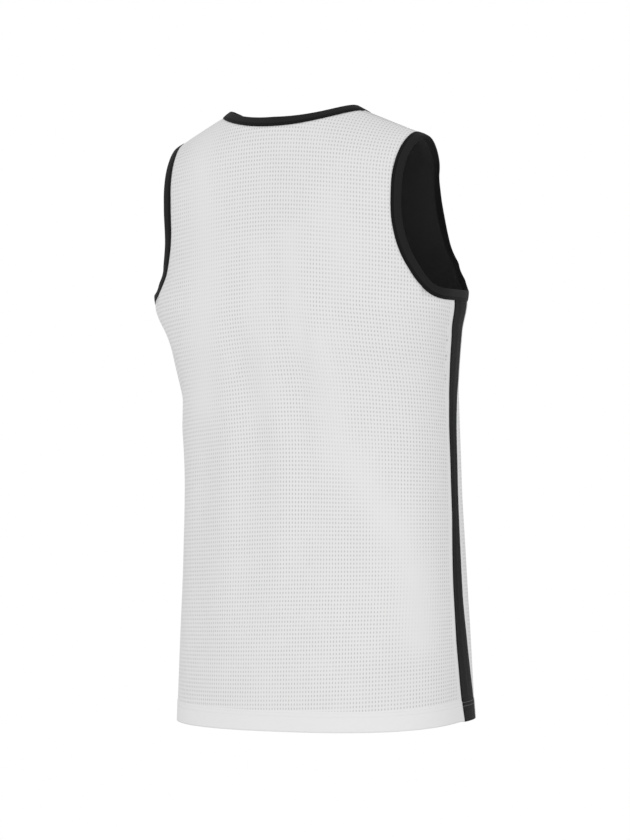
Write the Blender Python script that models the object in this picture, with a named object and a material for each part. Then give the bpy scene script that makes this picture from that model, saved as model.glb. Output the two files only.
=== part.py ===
"""A sleeveless basketball jersey in its worn form, held up by the wearer's shoulders.

Metres, +Z up. The front of the jersey faces -Y, its back +Y, and the wearer's left is +X.
The origin lies midway between the two neck points of the shoulder seams, at their height.

The cloth lies on one body form. FORM gives that form's level sections, and the shoulder
sizes round it over to the shoulder seams. Each panel is a grid on the form: its rows run
from side edge to side edge, first between the side strips, then between the armholes.
"""

import bmesh
import bpy
import numpy as np

# Thickness of the layers, and the gap left at every seam.
PANEL_WALL = 0.0012
LINING_WALL = 0.0010
SEAM_GAP = 0.0003
WHOLE_WALL = PANEL_WALL + SEAM_GAP + LINING_WALL

# Lengths down from the neck points.
SHOULDER_DROP = 0.028
UNDERARM_DROP = 0.2248
SIDE_LENGTH = 0.722
BACK_LENGTH = 0.733
FRONT_LENGTH = 0.729
BACK_NECK_DROP = 0.018
FRONT_NECK_DROP = 0.108

# The neck and shoulders, between the seams that join the bindings.
NECK_HALF_WIDTH = 0.0945
SHOULDER_HALF_WIDTH = 0.160
SHOULDER_FORWARD = 0.013
BACK_NECK_POWER = 2.1
FRONT_NECK_POWER = 2.7
# How far below the shoulder seam each side reaches its full depth, by the neck and by the arm.
NECK_ROUND = {"back": 0.070, "front": 0.095}
ARM_ROUND = {"back": 0.070, "front": 0.045}
ROUND_FROM = 0.080
ROUND_TO = 0.138

# Armholes, as seen from the front: their narrowest place and the pull of each curve.
ARMHOLE = {
    "back": {
        "waist_x": 0.1515, "waist_z": -0.1216, "floor_x": 0.192, "floor_rise": -0.191,
        "crown_x": 0.1546, "crown_z": -0.046, "crown_rise": -0.075,
    },
    "front": {
        "waist_x": 0.136, "waist_z": -0.106, "floor_x": 0.191, "floor_rise": -0.166,
        "crown_x": 0.1568, "crown_z": -0.040, "crown_rise": -0.072,
    },
}

# Where a side strip's back and front edges run, round from the widest line to the front.
STRIP_COLUMNS = ("z", "start", "end")
STRIP = np.array([
    (-0.2235, 0.0020, 0.0460),
    (-0.2450, 0.0070, 0.0520),
    (-0.2750, 0.0110, 0.0560),
    (-0.3100, 0.0105, 0.0500),
    (-0.3400, 0.0080, 0.0360),
    (-0.3800, 0.0045, 0.0275),
    (-0.4200, 0.0042, 0.0255),
    (-0.4700, 0.0040, 0.0245),
    (-0.5200, 0.0005, 0.0240),
    (-0.5700, -0.0017, 0.0240),
    (-0.6200, -0.0015, 0.0300),
    (-0.6600, 0.0015, 0.0390),
    (-0.6900, 0.0045, 0.0490),
    (-0.7220, 0.0110, 0.0580),
])

# The bindings, and how far the neck's stands away from the wearer in the middle of the back,
# which turns over towards the neck points.
BINDING_WIDTH = 0.0115
BINDING_PROUD = 0.0004
BINDING_GAP = 0.0004
BINDING_RIM = 0.12 * BINDING_WIDTH
NECK_STAND = -0.15
# How far the armhole bindings stand away from the wearer, on their back and on their front.
STAND_COLUMNS = ("z", "back", "front")
STAND = np.array([
    (-0.0280, 0.00, 0.00),
    (-0.0480, 0.12, -0.18),
    (-0.0670, 0.20, -0.32),
    (-0.0910, 0.24, -0.16),
    (-0.1260, 0.26, -0.02),
    (-0.1650, 0.24, -0.08),
    (-0.1880, 0.24, 0.04),
    (-0.2100, 0.28, 0.24),
    (-0.2250, 0.20, 0.14),
])

# Level sections of the form: the height, the half width, where the widest line lies, the
# middle of the back and of the front, and how square each of the two halves is.
FORM_COLUMNS = ("z", "half_width", "side_y", "back_y", "front_y", "back_power", "front_power")
FORM = np.array([
    (0.020, 0.182, -0.008, 0.046, -0.060, 2.5, 2.1),
    (-0.030, 0.184, -0.014, 0.057, -0.098, 2.5, 2.2),
    (-0.070, 0.187, -0.018, 0.061, -0.122, 2.5, 2.2),
    (-0.110, 0.188, -0.022, 0.063, -0.138, 2.5, 2.2),
    (-0.157, 0.182, -0.025, 0.064, -0.149, 2.5, 2.45),
    (-0.185, 0.183, -0.026, 0.064, -0.153, 2.5, 2.8),
    (-0.207, 0.1915, -0.0255, 0.063, -0.156, 2.5, 2.7),
    (-0.2235, 0.1995, -0.0260, 0.063, -0.158, 2.5, 2.45),
    (-0.260, 0.189, -0.032, 0.059, -0.163, 2.5, 2.4),
    (-0.340, 0.1773, -0.049, 0.041, -0.170, 2.5, 2.4),
    (-0.430, 0.1758, -0.0595, 0.034, -0.179, 2.5, 2.4),
    (-0.530, 0.1785, -0.063, 0.035, -0.188, 2.5, 2.4),
    (-0.630, 0.1825, -0.0665, 0.041, -0.196, 2.5, 2.4),
    (-0.740, 0.187, -0.068, 0.045, -0.203, 2.5, 2.4),
])

# The grids. Above the turn of the armhole a panel has these fractions across, and below it
# the columns of OUTER besides, which lie between the turn and the side strip.
ACROSS = {
    "back": (0.0, 0.16, 0.32, 0.47, 0.60, 0.72, 0.82, 0.91, 1.0),
    "front": (0.0, 0.10, 0.20, 0.30, 0.40, 0.50, 0.60, 0.70, 0.80, 0.90, 1.0),
}
OUTER = (0.25, 0.50, 0.75, 1.0)
ACROSS_STRIP = (0.0, 0.25, 0.50, 0.75, 1.0)
CLOSER_ON_TOP = 1.35
NECK_SHARE = NECK_HALF_WIDTH / SHOULDER_HALF_WIDTH
NECK_SPREAD = 0.22
TURN_RISE = 0.014
ROWS_BELOW = 11
ROWS_ABOVE = 10
FINE = 240
NUDGE = 1e-5

WHITE = (0.80, 0.80, 0.80, 1.0)
BLACK = (0.022, 0.022, 0.024, 1.0)
DARK_GREY = (0.012, 0.012, 0.013, 1.0)


def table_value(table, columns, column, z):
    """One column of a table at the heights z, along a curve that never overshoots its rows."""
    rows = table[::-1]
    x = rows[:, 0]
    y = rows[:, columns.index(column)]
    width = np.diff(x)
    slope = np.diff(y) / width
    same_way = slope[:-1] * slope[1:] > 0
    left, right = 2 * width[1:] + width[:-1], width[1:] + 2 * width[:-1]
    joined = np.where(same_way, slope[:-1], 1.0), np.where(same_way, slope[1:], 1.0)
    middle = np.where(same_way, (left + right) / (left / joined[0] + right / joined[1]), 0.0)
    tangent = np.concatenate([slope[:1], middle, slope[-1:]])
    z = np.clip(z, x[0], x[-1])
    k = np.clip(np.searchsorted(x, z) - 1, 0, len(width) - 1)
    t = (z - x[k]) / width[k]
    return (
        y[k] * (1 + 2 * t) * (1 - t) ** 2
        + tangent[k] * width[k] * t * (1 - t) ** 2
        + y[k + 1] * t**2 * (3 - 2 * t)
        + tangent[k + 1] * width[k] * t**2 * (t - 1)
    )


def form_value(column, z):
    return table_value(FORM, FORM_COLUMNS, column, z)


def strip_value(column, z):
    return float(table_value(STRIP, STRIP_COLUMNS, column, z))


def smooth(t):
    t = np.clip(t, 0, 1)
    return t * t * (3 - 2 * t)


def ridge_z(x):
    """Height of the shoulder line at x, carried on across the neck."""
    return -SHOULDER_DROP * (x - NECK_HALF_WIDTH) / (SHOULDER_HALF_WIDTH - NECK_HALF_WIDTH)


def ridge_y(x):
    return -SHOULDER_FORWARD * (x - NECK_HALF_WIDTH) / (SHOULDER_HALF_WIDTH - NECK_HALF_WIDTH)


def unit(vectors):
    return vectors / np.linalg.norm(vectors, axis=-1, keepdims=True)


def rounding(side, x, z):
    """Share of the form's full depth that is reached at x and z, below the shoulder line."""
    outward = smooth((x - ROUND_FROM) / (ROUND_TO - ROUND_FROM))
    radius = NECK_ROUND[side] + (ARM_ROUND[side] - NECK_ROUND[side]) * outward
    down = np.clip((ridge_z(x) - z) / radius, 0, 1)
    return np.sqrt(1 - (1 - down) ** 2)


def form_y(side, x, z):
    """How far back (side "back") or forward (side "front") the form lies at x and z."""
    out = form_value("half_width", z)
    power = form_value(side + "_power", z)
    widest = form_value("side_y", z)
    share = np.clip(1 - np.clip(x / out, 0, 1) ** power, 0, 1) ** (1 / power)
    full = widest + (form_value(side + "_y", z) - widest) * share
    return ridge_y(x) + (full - ridge_y(x)) * rounding(side, x, z)


def form_level(side, places):
    """Below 1 inside the form, 1 on it and above 1 outside it."""
    x, y, z = np.moveaxis(places, -1, 0)
    power = form_value(side + "_power", z)
    widest = form_value("side_y", z)
    full = ridge_y(x) + (y - ridge_y(x)) / np.maximum(rounding(side, x, z), NUDGE)
    depth = np.abs(full - widest) / np.abs(form_value(side + "_y", z) - widest)
    return np.abs(x / form_value("half_width", z)) ** power + depth**power


def form_normal(side, places):
    """Outward normals of the form, which on the shoulder line point up and out."""
    slopes = [
        form_level(side, places + way) - form_level(side, places - way) for way in NUDGE * np.eye(3)
    ]
    normal = unit(np.stack(slopes, axis=-1))
    fall = SHOULDER_DROP / (SHOULDER_HALF_WIDTH - NECK_HALF_WIDTH)
    on_ridge = ridge_z(places[..., 0]) - places[..., 2] < 10 * NUDGE
    normal[on_ridge] = unit(np.array([fall, 0.0, 1.0]))
    return normal


def top_z(side, x):
    """Top edge of a panel: its neckline, then its shoulder seam."""
    drop, power = (BACK_NECK_DROP, BACK_NECK_POWER) if side == "back" else (FRONT_NECK_DROP, FRONT_NECK_POWER)
    inside = np.clip(x / NECK_HALF_WIDTH, 0, 1)
    return np.where(x < NECK_HALF_WIDTH, -drop * (1 - inside**power), ridge_z(x))


def level_ring(side, z, across):
    """Points of half a level section, at the angles across, from its middle to its side."""
    out = form_value("half_width", z)
    power = form_value(side + "_power", z)
    widest = form_value("side_y", z)
    x = out * np.sin(across) ** (2 / power)
    y = widest + (form_value(side + "_y", z) - widest) * np.cos(across) ** (2 / power)
    return np.stack([x, y, z + 0 * x], axis=-1)


def run_lengths(points):
    steps = np.linalg.norm(np.diff(points, axis=0), axis=1)
    return np.concatenate([[0.0], np.cumsum(steps)])


def cut_run(points, start, end, fractions):
    """The points at the given fractions of the stretch from start to end along a run."""
    along = run_lengths(points)
    wanted = start + (end - start) * np.asarray(fractions)
    return np.stack([np.interp(wanted, along, points[:, k]) for k in range(3)], axis=-1)


def hem_z(side, across):
    length = BACK_LENGTH if side == "back" else FRONT_LENGTH
    return -length + (length - SIDE_LENGTH) * across**2


def bezier(start, pull_start, pull_end, end, count=80):
    t = np.linspace(0, 1, count)[:, None]
    return (
        (1 - t) ** 3 * np.array(start)
        + 3 * t * (1 - t) ** 2 * np.array(pull_start)
        + 3 * t**2 * (1 - t) * np.array(pull_end)
        + t**3 * np.array(end)
    )


def body_row(side, share):
    """A row between the strips: share is 0 at the hem and 1 at the underarm."""
    angle = np.linspace(0, np.pi / 2, FINE)
    z = hem_z(side, angle / angle[-1])
    z = z + (-UNDERARM_DROP - z) * share
    return level_ring(side, z, angle)


def side_level(share):
    """Height of the side line on the row at that share from hem to underarm."""
    return -SIDE_LENGTH + (SIDE_LENGTH - UNDERARM_DROP) * share


def side_end(side, share):
    """How far past the widest line a panel's side edge lies, short of it being below zero."""
    if side == "back":
        return strip_value("start", side_level(share)) - SEAM_GAP
    return -strip_value("end", side_level(share)) - SEAM_GAP


def whole_ring(first, share):
    """A row of one side from its middle out, carried on over the widest line to the other.

    It also returns how far along it the widest line lies.
    """
    other = {"back": "front", "front": "back"}[first]
    row = body_row(first, share)
    return np.concatenate([row, body_row(other, share)[-2::-1]]), run_lengths(row)[-1]


def armhole_run(side):
    """The armhole seam on the form, from the underarm to the shoulder."""
    cut = ARMHOLE[side]
    ring, widest = whole_ring(side, 1.0)
    corner = cut_run(ring, 0, widest + side_end(side, 1.0), [1.0])[0]
    lower = bezier(
        (corner[0], -UNDERARM_DROP),
        (cut["floor_x"], -UNDERARM_DROP),
        (cut["waist_x"], cut["floor_rise"]),
        (cut["waist_x"], cut["waist_z"]),
    )
    upper = bezier(
        (cut["waist_x"], cut["waist_z"]),
        (cut["waist_x"], cut["crown_rise"]),
        (cut["crown_x"], cut["crown_z"]),
        (SHOULDER_HALF_WIDTH, -SHOULDER_DROP),
    )
    x, z = np.concatenate([lower, upper[1:]]).T
    run = np.stack([x, form_y(side, x, z), z], axis=-1)
    run[0] = corner
    return run


def armhole_halves(side):
    """The armhole seam in two runs that meet at its turn: down to the strip, and up."""
    seam = armhole_run(side)
    turn = int(np.argmax(seam[:, 2] > TURN_RISE - UNDERARM_DROP))
    return seam[turn::-1], seam[turn:]


def shoulder_row(side, share, across):
    """Points of a row above the turn; share runs up the armhole seam from there.

    across runs along the top edge: 0 at the middle, NECK_SHARE at the neck point, 1 at the arm.
    """
    rising = armhole_halves(side)[1]
    edge = cut_run(rising, 0, run_lengths(rising)[-1], [share])[0]
    low = rising[0, 2]
    beyond = np.clip((across - NECK_SHARE) / (1 - NECK_SHARE), 0, 1)
    neck_x = NECK_HALF_WIDTH * (1 + NECK_SPREAD * (1 - share))
    x = np.minimum(across / NECK_SHARE, 1) * neck_x + (edge[0] - neck_x) * beyond
    climb = share + ((edge[2] - low) / (-SHOULDER_DROP - low) - share) * beyond
    z = low + (top_z(side, SHOULDER_HALF_WIDTH * across) - low) * climb
    return np.stack([x, form_y(side, x, z), z], axis=-1)


def upper_columns(side):
    """Where the columns fall along the top edge, with one of them at the neck point."""
    across = np.linspace(0, 1, FINE)
    along = run_lengths(shoulder_row(side, 1.0, across))
    columns = np.interp(np.array(ACROSS[side]) * along[-1], along, across)
    columns[np.argmin(np.abs(columns - NECK_SHARE))] = NECK_SHARE
    return columns


def turn_row(side):
    """The row at the turn: level out to the armhole, then down the seam to the strip."""
    outer = armhole_halves(side)[0]
    return np.concatenate([
        shoulder_row(side, 0.0, upper_columns(side)),
        cut_run(outer, 0, run_lengths(outer)[-1], OUTER),
    ])


def half_panel(side):
    """Grids of the places and outward normals of half a panel on +X, hem row first.

    Places beyond the armhole are nan.
    """
    turn = turn_row(side)
    along = run_lengths(turn)
    fractions = along / along[-1]
    rows = []
    for share in np.linspace(0, 1, ROWS_BELOW + 1)[:-1]:
        ring, widest = whole_ring(side, share)
        rows.append(cut_run(ring, 0, widest + side_end(side, share), fractions))
    rows.append(turn)
    beyond = np.full((len(OUTER), 3), np.nan)
    for share in 1 - np.linspace(1, 0, ROWS_ABOVE + 1)[1:] ** CLOSER_ON_TOP:
        rows.append(np.concatenate([shoulder_row(side, share, upper_columns(side)), beyond]))
    places = np.array(rows)
    normals = form_normal(side, places)
    normals[:, 0, 0] = 0
    places[..., 1] += (SEAM_GAP / 2) * (1 if side == "back" else -1)
    return places, unit(normals)


def half_strip():
    """Grids of the places and outward normals of the strip on +X, hem row first."""
    places = []
    for share in np.linspace(0, 1, ROWS_BELOW + 1):
        ring, widest = whole_ring("back", share)
        start, end = (widest + strip_value(edge, side_level(share)) for edge in ("start", "end"))
        places.append(cut_run(ring, start, end, ACROSS_STRIP))
    places = np.array(places)
    return places, form_normal("front", places)


def mirrored(grid):
    """A half grid joined to its mirror image across x = 0."""
    return np.concatenate([grid[:, :0:-1] * np.array([-1.0, 1.0, 1.0]), grid], axis=1)


def material(name, colour, roughness):
    made = bpy.data.materials.new(name)
    made.use_nodes = True
    shader = made.node_tree.nodes["Principled BSDF"]
    shader.inputs["Base Color"].default_value = colour
    shader.inputs["Roughness"].default_value = roughness
    shader.inputs["Metallic"].default_value = 0.0
    made.diffuse_color = colour
    return made


def add_object(name, mesh_builder, finish):
    mesh = bpy.data.meshes.new(name)
    bmesh.ops.recalc_face_normals(mesh_builder, faces=mesh_builder.faces[:])
    if mesh_builder.calc_volume(signed=True) < 0:
        bmesh.ops.reverse_faces(mesh_builder, faces=mesh_builder.faces[:])
    mesh_builder.to_mesh(mesh)
    mesh_builder.free()
    mesh.materials.append(finish)
    mesh.shade_smooth()
    made = bpy.data.objects.new(name, mesh)
    bpy.context.scene.collection.objects.link(made)
    return made


def add_wall(name, places, normals, outside, inside, finish):
    """A sheet of cloth on a grid of places, from one depth under the form to another."""
    rows, columns = places.shape[:2]
    builder = bmesh.new()
    bmesh.ops.create_grid(builder, x_segments=columns - 1, y_segments=rows - 1, size=1.0)
    layer = builder.verts.layers.int.new("place")
    builder.verts.ensure_lookup_table()
    for index, vert in enumerate(builder.verts):
        vert[layer] = index
    on_form = places.reshape(-1, 3)
    absent = [vert for vert in builder.verts if np.isnan(on_form[vert[layer]]).any()]
    bmesh.ops.delete(builder, geom=absent, context="VERTS")
    for vert in builder.verts:
        vert.co = on_form[vert[layer]]
    bmesh.ops.triangulate(builder, faces=builder.faces[:], quad_method="SHORT_EDGE")
    copied = bmesh.ops.extrude_face_region(builder, geom=builder.faces[:], use_keep_orig=True)
    inner_verts = {part for part in copied["geom"] if isinstance(part, bmesh.types.BMVert)}
    outer = on_form - (normals * outside).reshape(-1, 3)
    inner = on_form - (normals * inside).reshape(-1, 3)
    for vert in builder.verts:
        vert.co = (inner if vert in inner_verts else outer)[vert[layer]]
    return add_object(name, builder, finish)


def add_loop(name, stations, finish):
    """A closed band through its stations, each a closed section of the same count."""
    count, around = stations.shape[:2]
    closed = np.concatenate([stations, stations[:1]])
    closed = np.concatenate([closed, closed[:, :1]], axis=1)
    builder = bmesh.new()
    bmesh.ops.create_grid(builder, x_segments=around, y_segments=count, size=1.0)
    builder.verts.ensure_lookup_table()
    for vert, place in zip(builder.verts, closed.reshape(-1, 3)):
        vert.co = place
    bmesh.ops.remove_doubles(builder, verts=builder.verts[:], dist=1e-6)
    return add_object(name, builder, finish)


def binding_stations(edge, normals, inward):
    """Sections of a binding beyond a seam edge: inward points from the edge to the opening."""
    stations = []
    for place, normal, way in zip(edge, normals, inward):
        near, far = BINDING_GAP, BINDING_GAP + BINDING_WIDTH
        section = (
            (near, BINDING_PROUD),
            (far - BINDING_RIM, BINDING_PROUD),
            (far, -WHOLE_WALL * 0.3),
            (far, -WHOLE_WALL * 0.7),
            (far - BINDING_RIM, -WHOLE_WALL),
            (near, -WHOLE_WALL),
        )
        stations.append([place + way * across + normal * out for across, out in section])
    return np.array(stations)


def edge_ways(edge, normals, centre, stand):
    """Unit vectors from a closed edge to its opening, square to the edge.

    They lie on the cloth, but for how far the binding stands away from the wearer.
    """
    tangents = unit(np.roll(edge, -1, axis=0) - np.roll(edge, 1, axis=0))
    ways = unit(np.cross(tangents, normals))
    towards = np.einsum("ij,ij->i", ways, centre - edge)
    return unit(ways * np.sign(towards)[:, None] + normals * np.reshape(stand, (-1, 1)))


def neck_stand(edge):
    """How far the neck's binding stands away from the wearer at each place of its seam."""
    return NECK_STAND * (1 - 2 * np.clip(np.abs(edge[:, 0]) / NECK_HALF_WIDTH, 0, 1) ** 4)


def armhole_stand(edge):
    """How far an armhole's binding stands away from the wearer at each place of its seam."""
    z = edge[:, 2]
    back = smooth((edge[:, 1] - form_value("side_y", z)) / 0.02 + 0.5)
    stand = [table_value(STAND, STAND_COLUMNS, side, z) for side in ("back", "front")]
    return stand[1] + (stand[0] - stand[1]) * back


def joined_at(first, second):
    """Two runs that meet end to end, with the two points at their joint made one."""
    middle = (first[-1:] + second[:1]) / 2
    return np.concatenate([first[:-1], middle, second[1:]])


def neck_edge(halves):
    """Places and normals round the neckline, from the middle of the back by +X."""
    found = []
    for kind in (0, 1):
        runs = []
        for side in ("back", "front"):
            point = int(np.nanargmin(np.abs(halves[side][0][-1, :, 0] - NECK_HALF_WIDTH)))
            runs.append(halves[side][kind][-1, : point + 1])
        half = joined_at(runs[0], runs[1][::-1])
        found.append(np.concatenate([half, half[-2:0:-1] * np.array([-1.0, 1.0, 1.0])]))
    return found[0], unit(found[1])


def armhole_edge(halves, kind):
    """Places (kind 0) or normals (kind 1) from the strip up the back and down the front."""
    runs = []
    for side in ("back", "front"):
        grid = halves[side][kind]
        turn = len(ACROSS[side]) - 1
        runs.append(np.concatenate([grid[ROWS_BELOW, :turn:-1], grid[ROWS_BELOW:, turn]]))
    edge = joined_at(runs[0], runs[1][::-1])
    return unit(edge) if kind else edge


def main():
    for old in list(bpy.data.objects):
        bpy.data.objects.remove(old, do_unlink=True)
    white = material("white_mesh_cloth", WHITE, 0.85)
    black = material("black_trim_cloth", BLACK, 0.75)
    inner = material("black_inner_cloth", DARK_GREY, 0.80)

    halves = {side: half_panel(side) for side in ("back", "front")}
    for side, (places, normals) in halves.items():
        whole = mirrored(places)
        facing = mirrored(normals)
        add_wall(side + "_panel", whole, facing, 0.0, PANEL_WALL, white)
        add_wall(side + "_lining", whole, facing, PANEL_WALL + SEAM_GAP, WHOLE_WALL, inner)

    strip, strip_normals = half_strip()
    for name, sign in (("side_strip_left", 1.0), ("side_strip_right", -1.0)):
        turn = np.array([sign, 1.0, 1.0])
        add_wall(name, strip * turn, strip_normals * turn, 0.0, WHOLE_WALL, black)

    neck, neck_n = neck_edge(halves)
    ways = edge_ways(neck, neck_n, neck.mean(axis=0), neck_stand(neck))
    add_loop("neck_binding", binding_stations(neck, neck_n, ways), black)

    arm = np.concatenate([armhole_edge(halves, 0), strip[-1, ::-1]])
    arm_n = np.concatenate([armhole_edge(halves, 1), strip_normals[-1, ::-1]])
    ways = edge_ways(arm, arm_n, arm.mean(axis=0), armhole_stand(arm))
    for name, sign in (("armhole_binding_left", 1.0), ("armhole_binding_right", -1.0)):
        turn = np.array([sign, 1.0, 1.0])
        add_loop(name, binding_stations(arm * turn, arm_n * turn, ways * turn), black)


main()
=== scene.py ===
"""A sleeveless basketball jersey in its worn form, with its cloth, seams, stage and camera.

Metres, +Z up. The front of the jersey faces -Y, its back +Y, and the wearer's left is +X.
The cloth lies on one body form: FORM gives its level sections, and the shoulder sizes
round it over to the shoulder seams. Folds are added on top of that form, out along it.
"""

import functools

import bmesh
import bpy
import numpy as np
from mathutils import Matrix, Vector, kdtree


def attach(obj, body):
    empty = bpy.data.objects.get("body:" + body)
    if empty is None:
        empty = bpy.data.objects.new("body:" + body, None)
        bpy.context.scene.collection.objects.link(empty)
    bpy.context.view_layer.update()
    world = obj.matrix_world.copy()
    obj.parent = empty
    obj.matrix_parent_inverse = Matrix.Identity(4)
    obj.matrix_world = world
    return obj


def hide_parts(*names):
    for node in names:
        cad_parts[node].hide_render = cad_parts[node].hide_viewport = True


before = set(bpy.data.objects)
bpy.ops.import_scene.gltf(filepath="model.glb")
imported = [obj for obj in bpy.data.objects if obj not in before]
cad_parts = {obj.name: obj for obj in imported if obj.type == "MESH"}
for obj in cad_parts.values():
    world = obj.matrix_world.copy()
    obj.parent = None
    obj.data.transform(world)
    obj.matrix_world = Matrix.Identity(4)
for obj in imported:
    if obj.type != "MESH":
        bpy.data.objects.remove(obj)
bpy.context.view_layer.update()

bl_info = {
    "name": "Basketball Jersey",
    "version": (1, 0, 0),
    "blender": (4, 5, 0),
    "location": "3D View > Sidebar > Jersey",
    "description": "Builds a worn basketball jersey with mesh cloth, bindings, strips and hem",
    "category": "Add Mesh",
}

# Thickness of the layers and the gap at every seam, as the rigid model has them.
PANEL_WALL = 0.0012
LINING_WALL = 0.0010
SEAM_GAP = 0.0003
WHOLE_WALL = PANEL_WALL + SEAM_GAP + LINING_WALL
# How far from a seam the folds fade out, how far the turned hem stands out and over what
# height it does so, and the low welt beside the strips: its height and how far in it lies.
FOLD_FADE = 0.035
HEM_RISE = 0.0005
HEM_STEP = 0.0015
WELT_RISE = 0.0007
WELT_PLACE = 0.0012

# Lengths down from the neck points.
SHOULDER_DROP = 0.028
UNDERARM_DROP = 0.2248
SIDE_LENGTH = 0.722
BACK_LENGTH = 0.733
FRONT_LENGTH = 0.729
BACK_NECK_DROP = 0.018
FRONT_NECK_DROP = 0.108

# The neck and shoulders, between the seams that join the bindings.
NECK_HALF_WIDTH = 0.0945
SHOULDER_HALF_WIDTH = 0.160
SHOULDER_FORWARD = 0.013
BACK_NECK_POWER = 2.1
FRONT_NECK_POWER = 2.7
# How far below the shoulder seam each side reaches its full depth, by the neck and by the arm,
# and the distances from the centre line between which the one becomes the other.
NECK_ROUND = {"back": 0.070, "front": 0.095}
ARM_ROUND = {"back": 0.070, "front": 0.045}
ROUND_FROM = 0.080
ROUND_TO = 0.138

# Armholes, as seen from the front: their narrowest place and the pull of each curve.
ARMHOLE = {
    "back": {
        "waist_x": 0.1515, "waist_z": -0.1216, "floor_x": 0.192, "floor_rise": -0.191,
        "crown_x": 0.1546, "crown_z": -0.046, "crown_rise": -0.075,
    },
    "front": {
        "waist_x": 0.136, "waist_z": -0.106, "floor_x": 0.191, "floor_rise": -0.166,
        "crown_x": 0.1568, "crown_z": -0.040, "crown_rise": -0.072,
    },
}

# Where a side strip's back and front edges run, round from the widest line to the front.
STRIP_COLUMNS = ("z", "start", "end")
STRIP = np.array([
    (-0.2235, 0.0020, 0.0460),
    (-0.2450, 0.0070, 0.0520),
    (-0.2750, 0.0110, 0.0560),
    (-0.3100, 0.0105, 0.0500),
    (-0.3400, 0.0080, 0.0360),
    (-0.3800, 0.0045, 0.0275),
    (-0.4200, 0.0042, 0.0255),
    (-0.4700, 0.0040, 0.0245),
    (-0.5200, 0.0005, 0.0240),
    (-0.5700, -0.0017, 0.0240),
    (-0.6200, -0.0015, 0.0300),
    (-0.6600, 0.0015, 0.0390),
    (-0.6900, 0.0045, 0.0490),
    (-0.7220, 0.0110, 0.0580),
])

# A binding's section: its finished width, where it starts and ends across that width, how
# long its rounded rim is, the crowns of its two faces, and how far it lies behind the cloth.
BINDING_WIDTH = 0.0115
BINDING_START = -0.0012
BINDING_END = BINDING_WIDTH + 0.0004
BINDING_RIM = 0.0016
BINDING_CROWN = 0.00035
BINDING_INNER_CROWN = 0.00014
BINDING_BEHIND = 0.0003
# How far the neck's binding stands away from the wearer in the middle of the back, which
# turns over towards the neck points.
NECK_STAND = -0.15
# How far the armhole bindings stand away from the wearer, on their back and on their front.
STAND_COLUMNS = ("z", "back", "front")
STAND = np.array([
    (-0.0280, 0.00, 0.00),
    (-0.0480, 0.12, -0.18),
    (-0.0670, 0.20, -0.32),
    (-0.0910, 0.24, -0.16),
    (-0.1260, 0.26, -0.02),
    (-0.1650, 0.24, -0.08),
    (-0.1880, 0.24, 0.04),
    (-0.2100, 0.28, 0.24),
    (-0.2250, 0.20, 0.14),
])
# The depth over which an armhole's binding goes from its front lean to its back one.
STAND_TURN = 0.02
NECK_STATIONS = 260
ARM_STATIONS = 240
# The side strips' relief: a low crown and a few broad ribs, which begin above the hem.
STRIP_CROWN = 0.0006
STRIP_RIB = 0.00012
STRIP_RIBS = 3
STRIP_RIB_START = 0.01
# How far the hem rises across a side strip towards the front, and how far up that fades out.
HEM_LIFT = 0.0045
HEM_LIFT_OVER = 0.060
# How far below the top of the hem its two rows of stitches lie, and half the length of a
# stitch as a share of the way from one to the next.
STITCH_ROWS = (0.0008, 0.0050)
STITCH_SHARE = 0.42

# Level sections of the form: the height, the half width, where the widest line lies, the
# middle of the back and of the front, and how square each of the two halves is.
FORM_COLUMNS = ("z", "half_width", "side_y", "back_y", "front_y", "back_power", "front_power")
FORM = np.array([
    (0.020, 0.182, -0.008, 0.046, -0.060, 2.5, 2.1),
    (-0.030, 0.184, -0.014, 0.057, -0.098, 2.5, 2.2),
    (-0.070, 0.187, -0.018, 0.061, -0.122, 2.5, 2.2),
    (-0.110, 0.188, -0.022, 0.063, -0.138, 2.5, 2.2),
    (-0.157, 0.182, -0.025, 0.064, -0.149, 2.5, 2.45),
    (-0.185, 0.183, -0.026, 0.064, -0.153, 2.5, 2.8),
    (-0.207, 0.1915, -0.0255, 0.063, -0.156, 2.5, 2.7),
    (-0.2235, 0.1995, -0.0260, 0.063, -0.158, 2.5, 2.45),
    (-0.260, 0.189, -0.032, 0.059, -0.163, 2.5, 2.4),
    (-0.340, 0.1773, -0.049, 0.041, -0.170, 2.5, 2.4),
    (-0.430, 0.1758, -0.0595, 0.034, -0.179, 2.5, 2.4),
    (-0.530, 0.1785, -0.063, 0.035, -0.188, 2.5, 2.4),
    (-0.630, 0.1825, -0.0665, 0.041, -0.196, 2.5, 2.4),
    (-0.740, 0.187, -0.068, 0.045, -0.203, 2.5, 2.4),
])

# Fineness of the cloth grids: columns from the centre line to the armhole's turn, from there
# to the strip and across a strip, and rows in the hem, up to the underarm and above it.
COLUMNS = {"back": 44, "front": 48}
OUTER_COLUMNS = 18
ACROSS_STRIP = 20
HEM_ROWS = 16
ROWS_BELOW = 126
ROWS_ABOVE = 54
# The hem's share of the height to the underarm, steps along a row that is then cut evenly,
# and the small step that the form's slopes are measured over.
HEM_SHARE = 0.054
FINE = 240
NUDGE = 1e-5
# The neckline's share of a panel's top edge, how much wider its columns lie below, and how
# far above the underarm the armhole turns from its floor to its rising side.
NECK_SHARE = NECK_HALF_WIDTH / SHOULDER_HALF_WIDTH
NECK_SPREAD = 0.22
TURN_RISE = 0.014
# The wearer's two sides, and what takes a place on +X to each of them.
MIRROR = np.array([-1.0, 1.0, 1.0])
SIDES = {"left": np.array([1.0, 1.0, 1.0]), "right": MIRROR}

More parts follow.
